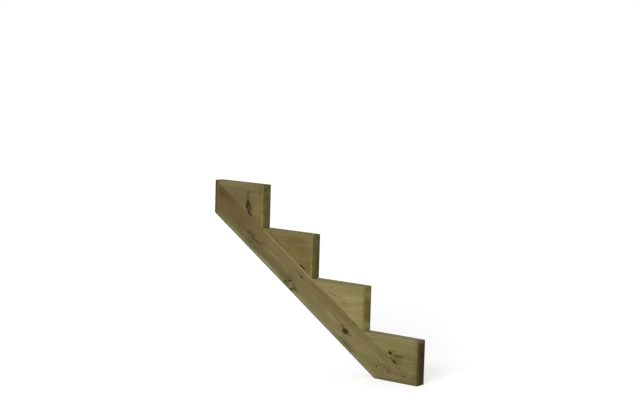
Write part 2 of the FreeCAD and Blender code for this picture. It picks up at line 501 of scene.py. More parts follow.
def oval_reach(kit, given):
    """How far a point lies from the middle of an oval: 1 on its rim."""
    off = kit.vector("SUBTRACT", given["Board"], given["Place"])
    spin = {"Vector": off, "Angle": given["Turn"]}
    turned = kit.add("ShaderNodeVectorRotate", spin, rotation_type="Y_AXIS").outputs[0]
    on_face = kit.vector("MULTIPLY", turned, ON_FACE)
    return kit.measure("LENGTH", kit.vector("DIVIDE", on_face, given["Size"]))


kit, given, gives = new_group(
    "knot", OVAL, {"Core": "Float", "Rim": "Float", "Ring": "Float", "Halo": "Float"}
)
reach = oval_reach(kit, given)
torn_edge = kit.math("SUBTRACT", kit.noise(given["Board"], KNOT_EDGE_LUMPS, detail=3), NOISE_MIDDLE)
ragged = kit.math("MULTIPLY_ADD", torn_edge, KNOT_EDGE_TEAR, reach)
core = kit.between(ragged, *CORE_ENDS)
kit.feed(gives["Core"], core)
rim = kit.times(kit.between(ragged, *RIM_STARTS), kit.between(ragged, *RIM_ENDS))
broken = kit.between(kit.noise(given["Board"], RIM_LUMPS, detail=1), *RIM_BREAKS)
kit.feed(gives["Rim"], kit.times(rim, broken))
kit.feed(gives["Ring"], kit.times(core, kit.math("PINGPONG", kit.times(ragged, KNOT_RINGS), 1)))
kit.feed(gives["Halo"], kit.math("EXPONENT", kit.times(kit.times(reach, reach), HALO_FALL)))
knot_group = kit.tree
print("knot:", len(knot_group.nodes), "nodes")

# %% Stain group
STAIN_LUMPS = (90, 15, 15)
STAIN_FEATHER = 1.1
STAIN_ENDS = (0.3, 1.5, 1, 0)

kit, given, gives = new_group("stain", OVAL, {"Share": "Float"})
feather = kit.math("SUBTRACT", kit.noise(given["Board"], STAIN_LUMPS, detail=3), NOISE_MIDDLE)
feathered = kit.math("MULTIPLY_ADD", feather, STAIN_FEATHER, oval_reach(kit, given))
kit.feed(gives["Share"], kit.between(feathered, *STAIN_ENDS))
stain_group = kit.tree
print("stain:", len(stain_group.nodes), "nodes")

# %% [markdown]
# ## Pine
# Heartwood near the pith is brown; the sapwood outside it takes up the copper preservative and turns olive
# green. Latewood darkens each ring. A sawn end shows its own tone, often different towards the two faces,
# and the rounded arrises are made pale, partly as rubbed wear and partly as a painted highlight. Each board
# could have a finish of its own, but one recipe keeps the five alike, and a board's look gives it only the
# tones and marks that differ.

# %% A point in a board
MILLIMETRE = 0.001


def board_axes(kit, tip, tilt):
    """A point in a board, in millimetres: along the grain, through the thickness and across the width."""
    spot = kit.add("ShaderNodeTexCoord", {}).outputs["Object"]
    lie = {"Vector": spot, "Location": tip, "Rotation": (0, tilt, 0), "Scale": (MILLIMETRE,) * 3}
    return kit.add("ShaderNodeMapping", lie, vector_type="TEXTURE").outputs[0]


def board_facing(kit, tilt):
    """How far the surface faces along the grain, through the thickness and across the width."""
    normal = kit.add("ShaderNodeTexCoord", {}).outputs["Normal"]
    lean = {"Vector": normal, "Rotation": (0, tilt, 0)}
    return kit.split(kit.add("ShaderNodeMapping", lean, vector_type="TEXTURE").outputs[0])


# %% Marks on a board
KNOT_SWELL_MM = 11
SPECKLE_LUMPS = (5, 9, 5)
SPECKLES = (0.46, 0.6)


def oval(board, mark):
    """The inputs of a knot or stain group. A positive turn dips a mark's lower end, as it does a gouge's."""
    size = (mark["length"] / 2, 1, mark["width"] / 2)
    place = (mark["along"], 0, mark["across"])
    return {"Board": board, "Place": place, "Size": size, "Turn": math.radians(-mark["turn"])}


def add_knots(kit, board, knots):
    """The cores, rims and rings of the knots, and how far they swell the rings of the trunk."""
    core, rim, ring, swell = 0.0, 0.0, 0.0, 0.0
    for mark in knots:
        branch = kit.group(knot_group, oval(board, mark))
        core = kit.math("MAXIMUM", core, kit.times(branch["Core"], mark["core"]))
        rim = kit.math("MAXIMUM", rim, kit.times(branch["Rim"], mark["rim"]))
        ring = kit.math("MAXIMUM", ring, branch["Ring"])
        swell = kit.math("MULTIPLY_ADD", branch["Halo"], min(mark["width"] / 2, KNOT_SWELL_MM), swell)
    return core, rim, ring, swell


def add_stains(kit, colour, board, near_side, stains):
    """Stains on the near side, each over the ones before it."""
    speckles = kit.between(kit.noise(board, SPECKLE_LUMPS, detail=2), *SPECKLES)
    for mark in stains:
        share = kit.times(kit.group(stain_group, oval(board, mark))["Share"], near_side)
        if mark["speckled"]:
            share = kit.times(share, speckles)
        colour = kit.mix(kit.times(share, mark["share"]), colour, mark["colour"])
    return colour


def add_strips(kit, colour, board, patchy, strips):
    """Bands of another tone along an edge or a cut, a little patchy."""
    for strip in strips:
        distance = kit.measure("DOT_PRODUCT", board, strip["square_to"])
        share = kit.between(distance, strip["start"], strip["full"], 0, strip["share"])
        colour = kit.mix(kit.times(share, patchy), colour, strip["colour"])
    return colour


# %% Planed faces
LATE = paint(172, 158, 138)
GREEN = paint(106, 106, 58)
HEART_FEATHER_MM = 16
HEART_EDGE_MM = 14
GREEN_BLOTCHES = (0.42, 0.66)
NEAR_SIDE_MM = (-5, 12, 1, 0)
PATCHES = (0.3, 0.62, 0.45, 1)
STREAK_TONE = (0.2, 0.8, 0.88, 1.12)
FIBRE_TONE = (0.2, 0.8, -0.09, 0.09)
CLOUD_TONE = (0.25, 0.75, 0.944, 1.084)
TOP_FACE_PAINTED_SHADE = (0.6, 0.95)


def planed_face(kit, board, facing, wood, look):
    """The colour of the planed faces, without the knots."""
    reach = look["heart_reach"]
    wavy = kit.math("MULTIPLY_ADD", wood["Streak"], HEART_FEATHER_MM, wood["Radius"])
    heart = kit.between(wavy, reach - HEART_EDGE_MM, reach + HEART_EDGE_MM, 1, 0)
    colour = kit.mix(heart, look["sap"], look["heart"])
    green = kit.times(kit.between(wood["Blotch"], *GREEN_BLOTCHES), look["green"])
    colour = kit.mix(green, colour, GREEN)

    # Stains and bands are known only from the near side, so they fade out through the board
    near_side = kit.between(kit.split(board)[THROUGH], *NEAR_SIDE_MM)
    colour = add_stains(kit, colour, board, near_side, look["stains"])
    patchy = kit.between(wood["Blotch"], *PATCHES)
    colour = add_strips(kit, colour, board, kit.times(patchy, near_side), look["strips"])

    # The latewood of each ring, then lighter and darker streaks, fibres and clouds
    colour = kit.mix(kit.times(wood["Latewood"], look["contrast"]), colour, LATE, "MULTIPLY")
    streaky = kit.between(wood["Streak"], *STREAK_TONE)
    fibre = kit.between(wood["Fibre"], *FIBRE_TONE)
    cloudy = kit.between(wood["Blotch"], *CLOUD_TONE)
    colour = kit.shade(colour, kit.times(kit.math("ADD", streaky, fibre), cloudy))
    # Faces that look up are darkened a little: painted shade on the tops of the steps
    return kit.shade(colour, kit.between(facing[ACROSS], *TOP_FACE_PAINTED_SHADE, 1, look["top"]))


# %% Sawn ends
END_WAVE_MM = 10
END_BLEND_MM = 3
END_CONTRAST = 0.45
SAW_TONE = (0.5, 1.5, 0.72, 1.28)


def sawn_end(kit, board, wood, saw_lines, look):
    """The colour of a sawn end, which turns over from one tone to another between the two broad faces."""
    near_end, far_end, turn_over = look["end"]
    wavy = kit.math("MULTIPLY_ADD", wood["Blotch"], END_WAVE_MM, kit.split(board)[THROUGH])
    middle = turn_over + END_WAVE_MM * NOISE_MIDDLE
    far_share = kit.between(wavy, middle - END_BLEND_MM, middle + END_BLEND_MM)
    colour = kit.mix(far_share, near_end, far_end)
    patchy = kit.between(wood["Blotch"], *PATCHES)
    colour = add_strips(kit, colour, board, patchy, look["end_strips"])
    colour = kit.mix(kit.times(wood["Latewood"], END_CONTRAST), colour, LATE, "MULTIPLY")
    return kit.shade(colour, kit.between(kit.math("ADD", saw_lines, wood["Blotch"]), *SAW_TONE))


# %% Rubbed arrises and painted highlight
CORNER = (0.05, 0.4)
RUB_FADE_MM = 30
WORN = (0.85, 1.15)
LEAST_WORN = 0.2


def rubbed_arris_and_highlight(kit, board, facing, wood, pale_arris_and_highlight):
    """Wear and painted highlight on an arris, where a broad side turns to the edge, on one stretch of it."""
    share, first, last = pale_arris_and_highlight
    along = kit.split(board)[ALONG]
    corner = kit.between(kit.math("ABSOLUTE", kit.times(facing[THROUGH], facing[ACROSS])), *CORNER)
    starts = kit.between(along, first, first + RUB_FADE_MM)
    stops = kit.between(along, last - RUB_FADE_MM, last, 1, 0)
    worn = kit.between(kit.math("ADD", wood["Streak"], wood["Fibre"]), *WORN, LEAST_WORN * share, share)
    return kit.times(kit.times(corner, kit.times(starts, stops)), worn)


# %% Pine finish
PALE_WEAR_AND_HIGHLIGHT = paint(164, 148, 106)
KNOT_CORE = paint(76, 60, 30)
KNOT_RING = paint(56, 43, 20)
KNOT_RIM = paint(42, 33, 14)
RIM_SHARE = 0.85
SAWN_FACE = (0.45, 0.8)
SAW_LINE_LUMPS = (500, 60, 1.6)
PINE_ROUGHNESS = (0.2, 0.8, 0.74, 0.92)
PINE_SHINE = 0.12
LATEWOOD_RELIEF = 0.5
SAW_RELIEF = 1.5
PINE_BUMP = 0.35
PINE_BUMP_DEPTH = 0.0006


def pine(name, tip, tilt, look):
    """The finish of one board. Its look gives its pith, tones and marks, in the board's millimetres."""
    material, kit, shader = new_finish(name)
    board = board_axes(kit, tip, tilt)
    facing = board_facing(kit, tilt)

    # Knots come first, because the rings bend round them
    core, rim, ring, swell = add_knots(kit, board, look["knots"])
    grown = {"Board": board, "Pith": look["pith"], "Slope": look["slope"], "Swell": swell}
    wood = kit.group(growth_rings, grown)

    # A sawn end is known by how far the surface faces along the grain
    sawn = kit.between(kit.math("ABSOLUTE", facing[ALONG]), *SAWN_FACE)
    saw_lines = kit.noise(board, SAW_LINE_LUMPS, detail=2)
    colour = planed_face(kit, board, facing, wood, look)
    colour = kit.mix(sawn, colour, sawn_end(kit, board, wood, saw_lines, look))
    # Pale arrises: rubbed wear, and a painted highlight along them
    colour = kit.mix(rubbed_arris_and_highlight(kit, board, facing, wood, look["pale_arris_and_highlight"]), colour, PALE_WEAR_AND_HIGHLIGHT)
    colour = kit.mix(core, colour, kit.mix(ring, KNOT_CORE, KNOT_RING))
    colour = kit.mix(kit.times(rim, RIM_SHARE), colour, KNOT_RIM)
    kit.feed(shader["Base Color"], colour)

    # Bare weathered pine is dull, and the latewood stands a little proud of the planed face
    kit.feed(shader["Roughness"], kit.between(wood["Fibre"], *PINE_ROUGHNESS))
    shader["Specular IOR Level"].default_value = PINE_SHINE
    relief = kit.math("MULTIPLY_ADD", wood["Latewood"], LATEWOOD_RELIEF, wood["Fibre"])
    relief = kit.math("MULTIPLY_ADD", kit.times(sawn, saw_lines), SAW_RELIEF, relief)
    add_bump(kit, shader, relief, PINE_BUMP, PINE_BUMP_DEPTH)
    return material


# %% [markdown]
# ## The marks of the five boards
# Every board has its own tones and its own marks. They could be left to chance, but this stringer is known
# by its knots and scars, so each larger one was found in the photograph through the camera above. Places are
# in the board's millimetres: along the grain from its upper tip, and across, below its upper edge. Stains
# are laid on in the order in which they are listed.

# %% Kinds of mark


def oval_mark(along, across, length, width, turn):
    """What a knot and a stain share."""
    return {"along": along, "across": across, "length": length, "width": width, "turn": turn}


def knot(along, across, length, width, turn=0, core=1.0, rim=None):
    """A knot with a core and a rim of the given strength, the rim as strong as the core if not given."""
    rim = core if rim is None else rim
    return {**oval_mark(along, across, length, width, turn), "core": core, "rim": rim}


def stain(along, across, length, width, colour, share, turn=0, speckled=False):
    """A stain that covers a share of the wood with its colour, all over or in speckles."""
    oval = oval_mark(along, across, length, width, turn)
    return {**oval, "colour": colour, "share": share, "speckled": speckled}


def strip(square_to, start, full, colour, share):
    """A band, measured square to a direction, that fades in from its start until it is full."""
    return {"square_to": square_to, "start": start, "full": full, "colour": colour, "share": share}


# %% Directions and tones
TO_PLUMB_CUT = (math.cos(PITCH), 0, math.sin(PITCH))
TO_FOOT = (-math.sin(PITCH), 0, math.cos(PITCH))
UPWARDS = (0, 0, 1)
FORWARDS = (1, 0, 0)
FOOT_MM = -UPPER_TIP.z / MILLIMETRE
RUN_MM = RUN / MILLIMETRE
DOWN_JOINT = math.degrees(PITCH)
HEART_BROWN = paint(101, 85, 52)
DARK_BROWN = paint(84, 67, 37)
RED_BROWN = paint(106, 78, 48)
MOSS = paint(112, 114, 62)
STRAW = paint(142, 129, 90)

# %% Marks on the spine
SPINE_KNOTS = [
    # The oval knot and the one beside it
    knot(845, -56, 34, 24, -12, core=0.88), knot(870, -53, 9, 6),
    # Two red ones near the joint, and a broken one on the lower edge
    knot(563, -28, 13, 9, core=0.75), knot(549, -26, 9, 7, core=0.6),
    knot(535, -86, 52, 40, core=0, rim=0.2),
    # Small ones below the oval knot and towards the foot
    knot(1143, -11, 9, 6, core=0.7), knot(838, -94, 8, 6, core=0.6), knot(867, -81, 9, 4, core=0.35),
    knot(1027, -63, 8, 6, core=0.35),
    # No core, only the grain that swells round it, under the long scar
    knot(262, -74, 60, 34, core=0),
]
SPINE_STAINS = [
    # Brown heartwood at the upper end
    stain(120, -34, 440, 130, HEART_BROWN, 0.8),
    stain(90, -14, 150, 24, DARK_BROWN, 0.5),
    stain(45, -24, 80, 44, paint(82, 69, 42), 0.6),
    # Olive along the lower half
    stain(370, -80, 460, 40, paint(100, 92, 56), 0.8),
    stain(560, -68, 260, 40, paint(112, 102, 66), 0.5),
    stain(690, -84, 300, 40, paint(118, 109, 72), 0.6),
    # The lower edge, pale and green by turns
    stain(480, -99, 840, 11, paint(140, 135, 98), 0.8),
    stain(116, -103, 130, 13, paint(74, 71, 46), 0.9),
    stain(262, -95, 70, 16, paint(102, 96, 64), 0.6),
    stain(620, -98, 90, 12, paint(150, 138, 106), 0.8),
    stain(735, -99, 200, 10, paint(142, 138, 100), 0.8),
    stain(985, -92, 150, 24, paint(116, 111, 68), 0.6),
    stain(238, -98, 50, 8, paint(150, 144, 114), 0.6),
    stain(409, -97, 44, 7, paint(156, 150, 114), 0.5),
    stain(82, -97, 30, 8, paint(124, 119, 78), 0.6),
    # Straw streaks and brown patches in the middle
    stain(420, -50, 100, 9, STRAW, 0.5, -3),
    stain(476, -53, 44, 9, STRAW, 0.5, 23),
    stain(380, -62, 60, 24, paint(126, 111, 73), 0.5),
    stain(290, -91, 110, 20, paint(97, 89, 57), 0.7),
    stain(708, -53, 70, 20, paint(112, 96, 61), 0.7),
    stain(776, -42, 50, 16, paint(112, 101, 64), 0.5),
    stain(505, -46, 40, 16, paint(110, 97, 60), 0.5),
    # The long scar
    stain(272, -50, 44, 14, paint(86, 74, 43), 0.7, -8),
    stain(250, -75, 40, 26, paint(114, 112, 78), 0.75),
    stain(275, -70, 44, 20, paint(94, 88, 48), 0.5),
    stain(260, -59, 42, 10, DARK_BROWN, 0.6, -10),
    stain(284, -60, 34, 10, DARK_BROWN, 0.7, 15),
    stain(307, -61, 44, 10, DARK_BROWN, 0.45, -6),
    stain(330, -55, 36, 9, DARK_BROWN, 0.35, -22),
    stain(283, -81, 30, 12, paint(84, 77, 44), 0.6),
    stain(354, -48, 44, 8, RED_BROWN, 0.35, -10),
    # Round the two red knots
    stain(553, -26, 60, 16, RED_BROWN, 0.3),
    stain(590, -10, 44, 11, STRAW, 0.6),
    # Round the broken knot on the lower edge
    stain(498, -82, 90, 40, paint(98, 89, 50), 0.7),
    stain(532, -84, 64, 44, paint(92, 86, 50), 0.7),
    stain(568, -90, 40, 24, paint(94, 87, 50), 0.7),
    stain(516, -88, 30, 10, paint(72, 66, 34), 0.5, -64),
    stain(529, -75, 36, 10, paint(78, 70, 38), 0.25, -41),
    stain(558, -92, 30, 10, paint(78, 72, 40), 0.8, -50),
    stain(574, -100, 24, 8, paint(168, 160, 128), 0.7),
    stain(524, -62, 50, 14, paint(96, 82, 48), 0.6),
    stain(540, -88, 22, 16, paint(114, 111, 74), 0.8),
    # Above the oval knot
    stain(748, -55, 110, 10, STRAW, 0.5),
    stain(780, -14, 320, 30, paint(110, 96, 58), 0.8),
    stain(820, -48, 26, 14, paint(98, 82, 46), 0.5, -25),
    # Below it and towards the foot
    stain(945, -60, 150, 50, paint(136, 122, 82), 0.5),
    stain(1090, -60, 190, 90, paint(117, 104, 67), 0.6),
    stain(874, -97, 104, 28, paint(92, 90, 57), 0.9),
    stain(1165, -26, 170, 54, paint(107, 96, 60), 0.7),
    stain(1032, -12, 80, 24, paint(110, 99, 62), 0.6),
    stain(1083, -40, 18, 26, paint(86, 76, 44), 0.55),
    stain(1115, -40, 70, 14, paint(128, 112, 78), 0.6, -DOWN_JOINT),
    # Painted shade over the rounded arris along the joint, towards the foot
    stain(1135, -1, 190, 12, paint(104, 93, 57), 0.5),
    stain(1003, -75, 120, 26, MOSS, 0.45),
    stain(1111, -57, 26, 12, paint(98, 89, 58), 0.6),
    # Close round the oval knot
    stain(866, -42, 30, 14, paint(142, 129, 92), 0.5),
    stain(824, -85, 40, 18, paint(138, 130, 92), 0.6),
    stain(916, -48, 46, 7, paint(106, 89, 55), 0.5, -14),
    # A dark spot on the joint line: partly a torn arris, partly painted shade between the boards
    stain(857, -3, 22, 6, paint(84, 72, 32), 0.5),
    stain(884, -96, 100, 26, paint(70, 70, 34), 0.55, speckled=True),
    stain(834, -99, 22, 9, paint(134, 126, 92), 0.6),
    # The rough patch near the foot
    stain(1050, -49, 80, 48, paint(88, 80, 44), 0.4, speckled=True),
]
SPINE_STRIPS = [
    strip(UPWARDS, -95, -101, paint(130, 127, 86), 0.6),
    strip(UPWARDS, -103, -107, paint(86, 86, 54), 0.9),
    strip(TO_PLUMB_CUT, 24, 12, paint(94, 90, 48), 0.9),
    strip(TO_PLUMB_CUT, 10, 4, paint(58, 51, 28), 1.0),
    # The last band darkens the spine along its foot, where it stands on the floor: painted shade
    strip(TO_FOOT, FOOT_MM + 14, FOOT_MM + 3, paint(90, 86, 48), 0.7),
]
print("spine:", len(SPINE_KNOTS), "knots and", len(SPINE_STAINS), "stains")

# %% Look of the spine
SPINE_LOOK = {
    "pith": (0, 46, 12), "slope": 0.06, "heart_reach": 150, "contrast": 0.28, "green": 0.3, "top": 1,
    "heart": paint(123, 106, 69), "sap": paint(131, 119, 80),
    "end": (paint(112, 99, 58), paint(104, 98, 56), 0), "end_strips": [], "pale_arris_and_highlight": (0.8, 300, 690),
    "knots": SPINE_KNOTS, "stains": SPINE_STAINS, "strips": SPINE_STRIPS,
}

# %% What the blocks share
TOP_STRIP = strip(UPWARDS, -12, -5, paint(118, 108, 74), 0.5)
FRONT_STRIP = strip(FORWARDS, RUN_MM - 14, RUN_MM - 5, paint(134, 121, 82), 0.5)
PLANK = {
    "slope": 0.02, "contrast": 0.27, "green": 0.3, "strips": [TOP_STRIP, FRONT_STRIP], "end_strips": [],
    "pale_arris_and_highlight": (0.3, 0, RUN_MM), "top": 0.86,
}
BLOCK_LOOKS = {}

# %% Lowest block
BLOCK_LOOKS["step_1"] = {
    **PLANK, "pith": (0, 60, -60), "heart_reach": 96,
    "heart": paint(122, 109, 69), "sap": paint(133, 120, 79),
    "end": (paint(90, 76, 40), paint(72, 59, 38), -8), "top": 0.94,
    "end_strips": [strip(UPWARDS, -20, -8, paint(126, 114, 95), 0.9)],
    "strips": [
        strip(UPWARDS, -14, -5, paint(130, 121, 88), 0.8),
        strip(FORWARDS, RUN_MM - 24, RUN_MM - 8, paint(104, 92, 54), 0.7),
        strip(FORWARDS, RUN_MM - 7, RUN_MM - 2, paint(84, 72, 40), 0.9),
    ],
    "knots": [
        knot(126, -63, 20, 12, 29),
        knot(145, -96, 24, 15, 35, core=0.45),
        knot(132, -82, 6, 5, core=0.7),
    ],
    "stains": [
        stain(166, -41, 110, 34, paint(128, 121, 71), 0.6),
        stain(49, -6, 18, 8, paint(108, 128, 54), 0.9),
        stain(90, -58, 70, 10, STRAW, 0.5, -8),
        stain(154, -86, 66, 42, paint(100, 87, 45), 0.8),
        stain(144, -62, 14, 16, paint(108, 102, 56), 0.6),
        stain(168, -60, 44, 6, paint(138, 126, 78), 0.6, -4),
        stain(164, -70, 62, 11, paint(86, 74, 32), 0.75, -4),
        stain(141, -84, 18, 8, paint(128, 114, 72), 0.6),
        stain(215, -112, 90, 130, paint(110, 99, 63), 0.5),
        stain(239, -152, 58, 38, paint(92, 88, 48), 0.8),
        stain(215, -2, 120, 16, paint(142, 134, 104), 0.9),
        stain(138, -54, 34, 14, paint(106, 98, 54), 0.6),
        stain(112, -71, 50, 16, paint(108, 98, 60), 0.5, DOWN_JOINT),
        stain(145, -94, 32, 24, paint(84, 74, 33), 0.6, 36),
        stain(197, -124, 50, 18, paint(110, 99, 62), 0.5, DOWN_JOINT),
    ],
}

# %% Second block
BLOCK_LOOKS["step_2"] = {
    **PLANK, "pith": (0, 70, -70), "heart_reach": 70,
    "heart": paint(134, 121, 79), "sap": paint(147, 134, 89),
    "end": (paint(136, 123, 64), paint(126, 113, 64), 8), "knots": [],
    "strips": [
        TOP_STRIP,
        strip(FORWARDS, RUN_MM - 16, RUN_MM - 4, paint(122, 109, 66), 0.7),
    ],
    "end_strips": [
        strip(UPWARDS, -58, -50, paint(152, 138, 88), 0.9),
        strip(UPWARDS, -132, -140, paint(162, 150, 98), 0.9),
    ],
    "stains": [
        stain(60, -24, 120, 30, paint(138, 123, 85), 0.6),
        stain(194, -70, 120, 52, paint(155, 143, 91), 0.7),
        stain(79, -40, 46, 12, paint(146, 131, 90), 0.4, 5),
        stain(215, -22, 120, 30, paint(126, 114, 76), 0.7),
        stain(246, -166, 18, 12, paint(72, 60, 26), 0.8),
        stain(211, -30, 56, 8, paint(152, 140, 97), 0.6),
        stain(214, -68, 50, 8, paint(162, 150, 100), 0.6),
    ],
}

# %% Third block
BLOCK_LOOKS["step_3"] = {
    **PLANK, "pith": (0, 60, -70), "heart_reach": 120,
    "heart": paint(119, 104, 62), "sap": paint(123, 109, 70),
    "end": (paint(124, 107, 53), paint(104, 99, 56), 3), "knots": [],
    "end_strips": [strip(UPWARDS, -26, -8, paint(122, 115, 82), 0.8)],
    "stains": [
        stain(172, -28, 90, 30, paint(104, 91, 52), 0.6),
        stain(137, -42, 66, 18, paint(106, 93, 56), 0.6),
        stain(228, -35, 40, 50, paint(126, 114, 76), 0.5),
        stain(201, -133, 40, 24, paint(86, 71, 36), 0.75, 36),
        stain(228, -132, 50, 60, paint(106, 91, 50), 0.8),
        stain(22, -12, 54, 22, paint(104, 95, 57), 0.8),
        stain(64, -38, 60, 14, paint(104, 92, 55), 0.7, DOWN_JOINT),
    ],
}

# %% Top block
BLOCK_LOOKS["step_4"] = {
    **PLANK, "pith": (0, 60, -70), "heart_reach": 110,
    "heart": paint(111, 98, 62), "sap": paint(117, 105, 68),
    "end": (paint(121, 108, 62), paint(112, 116, 60), 3),
    "strips": [
        TOP_STRIP,
        FRONT_STRIP,
        strip(FORWARDS, 24, 12, paint(86, 85, 46), 0.9),
        strip(FORWARDS, 10, 4, paint(58, 52, 30), 1.0),
    ],
    "end_strips": [
        strip(UPWARDS, -30, -14, paint(106, 112, 54), 0.6),
        strip(UPWARDS, -90, -120, paint(128, 117, 62), 0.8),
    ],
    "knots": [
        knot(174, -88, 28, 44, -12, core=0.85, rim=0.6),
        knot(172, -34, 8, 10, core=0.8),
    ],
    "stains": [
        stain(222, -84, 50, 110, paint(126, 115, 66), 0.7),
        stain(90, -8, 150, 9, paint(129, 121, 84), 0.6, -3),
        stain(238, -20, 40, 42, paint(94, 89, 57), 0.65),
        stain(104, -56, 110, 50, paint(106, 93, 60), 0.55),
        stain(171, -55, 16, 46, paint(88, 74, 43), 0.8),
        stain(180, -110, 18, 26, paint(88, 70, 38), 0.7, 10),
        stain(190, -108, 16, 24, paint(92, 77, 46), 0.6),
        stain(202, -129, 30, 18, paint(106, 92, 52), 0.6),
        stain(228, -145, 60, 50, paint(104, 94, 56), 0.8),
    ],
}
print("stains on the blocks:", {name: len(look["stains"]) for name, look in BLOCK_LOOKS.items()})

# %% Dress the boards
spine.data.materials.append(pine("spine_pine", UPPER_TIP, PITCH, SPINE_LOOK))
for block, tip in zip(blocks, tips):
    block.data.materials.append(pine(f"{block.name}_pine", tip, 0, BLOCK_LOOKS[block.name]))
print("finishes:", [board.data.materials[0].name for board in (spine, *blocks)])

# %% [markdown]
# ## Torn grain
# Where a saw leaves the wood it tears splinters off the edge, a loose knot drops bits of its heart, and
# drying opens checks along the grain. Bumps in a material would not change the outline, so each of these is
# cut from the mesh. A ball is made ragged by moving its points in and out at random, with a fixed seed. Then
# it is stretched to a lens and taken away by a Boolean. The lens carries a darker finish, torn grain with
# painted shade for the hollow, and the Boolean hands it on to the faces that it cuts.

# %% Torn finish with painted shade
SPLINTER_LUMPS = (0.012, 0.002, 0.002)
# The torn faces are dark: torn grain, and painted shade inside the gouges and checks
TORN_DARK_WITH_SHADE = paint(42, 33, 12)
TORN_LIGHT_WITH_SHADE = paint(82, 68, 30)
TORN_ROUGHNESS = (0.3, 0.7, 0.85, 1)
TORN_SHINE = 0.05
TORN_BUMP = 0.6
TORN_BUMP_DEPTH = 0.001

torn_and_shaded, kit, shader = new_finish("torn_pine_with_shade")
spot = kit.add("ShaderNodeTexCoord", {}).outputs["Object"]
splinters = kit.noise(spot, SPLINTER_LUMPS, detail=4)
kit.feed(shader["Base Color"], kit.mix(splinters, TORN_DARK_WITH_SHADE, TORN_LIGHT_WITH_SHADE))
kit.feed(shader["Roughness"], kit.between(splinters, *TORN_ROUGHNESS))
shader["Specular IOR Level"].default_value = TORN_SHINE
add_bump(kit, shader, splinters, TORN_BUMP, TORN_BUMP_DEPTH)
print("torn finish:", len(torn_and_shaded.node_tree.nodes), "nodes")

# %% Kinds of gouge
NEAR = -THICKNESS / 2 / MILLIMETRE
FAR = -NEAR


def gouge(along, across, length, width, depth, turn=0, face=NEAR):
    """A cut into a broad face."""
    return {"place": (along, face, across), "size": (length / 2, depth, width / 2), "turn": turn}


def pit(through, across, width, height, depth):
    """A cut into a block's sawn front."""
    return {"place": (RUN_MM, through, across), "size": (depth, width / 2, height / 2), "turn": 0}


# %% A ragged lens
BALL_FINENESS = 2
BALL_CUTS = 3
LUMPS = 0.38
SPLINTERS = 0.07


def lens(tip, tilt, cut, seed):
    """A ragged lens over one gouge of the board that has this tip and tilt."""
    bpy.ops.object.select_all(action="DESELECT")
    bpy.ops.mesh.primitive_ico_sphere_add(subdivisions=BALL_FINENESS, radius=MILLIMETRE)
    ball = bpy.context.object
    bpy.ops.object.mode_set(mode="EDIT")
    bpy.ops.mesh.select_all(action="SELECT")
    bpy.ops.transform.vertex_random(offset=LUMPS * MILLIMETRE, normal=1, seed=seed)
    bpy.ops.mesh.subdivide(number_cuts=BALL_CUTS, smoothness=1)
    bpy.ops.transform.vertex_random(offset=SPLINTERS * MILLIMETRE, normal=1, seed=seed)
    bpy.ops.object.mode_set(mode="OBJECT")
    ball.scale = cut["size"]
    bpy.ops.object.transform_apply(location=False, rotation=False, scale=True)
    board_to_scene = Matrix.Translation(tip) @ Matrix.Rotation(tilt, 4, "Y")
    stand(ball, board_to_scene @ (Vector(cut["place"]) * MILLIMETRE), tilt + math.radians(cut["turn"]))
    ball.data.materials.append(torn_and_shaded)
    return ball


# %% Tear a board


def drop_slivers(board):
    """Keeps what hangs together with the board's largest face, and drops loose splinters."""
    select_only(board)
    bpy.ops.object.mode_set(mode="EDIT")
    bpy.ops.mesh.select_mode(type="FACE")
    bpy.ops.mesh.select_all(action="DESELECT")
    bpy.ops.object.mode_set(mode="OBJECT")
    max(board.data.polygons, key=lambda face: face.area).select = True
    bpy.ops.object.mode_set(mode="EDIT")
    bpy.ops.mesh.select_linked()
    bpy.ops.mesh.select_all(action="INVERT")
    bpy.ops.mesh.delete(type="VERT")


def tear(board, tip, tilt, cuts):
    """Cuts all the gouges of one board with a single Boolean, so they are set out clear of each other."""
    balls = [lens(tip, tilt, cut, seed) for seed, cut in enumerate(cuts, start=1)]
    select_only(balls[0])
    for ball in balls:
        ball.select_set(True)
    bpy.ops.object.join()
    cutter = bpy.context.object
    select_only(board)
    tearing = board.modifiers.new("torn grain", "BOOLEAN")
    tearing.operation = "DIFFERENCE"
    tearing.solver = "EXACT"
    tearing.material_mode = "TRANSFER"
    tearing.object = cutter
    bpy.ops.object.modifier_apply(modifier=tearing.name)
    bpy.data.objects.remove(cutter)
    drop_slivers(board)
    report(board, f"{len(cuts)} gouges")


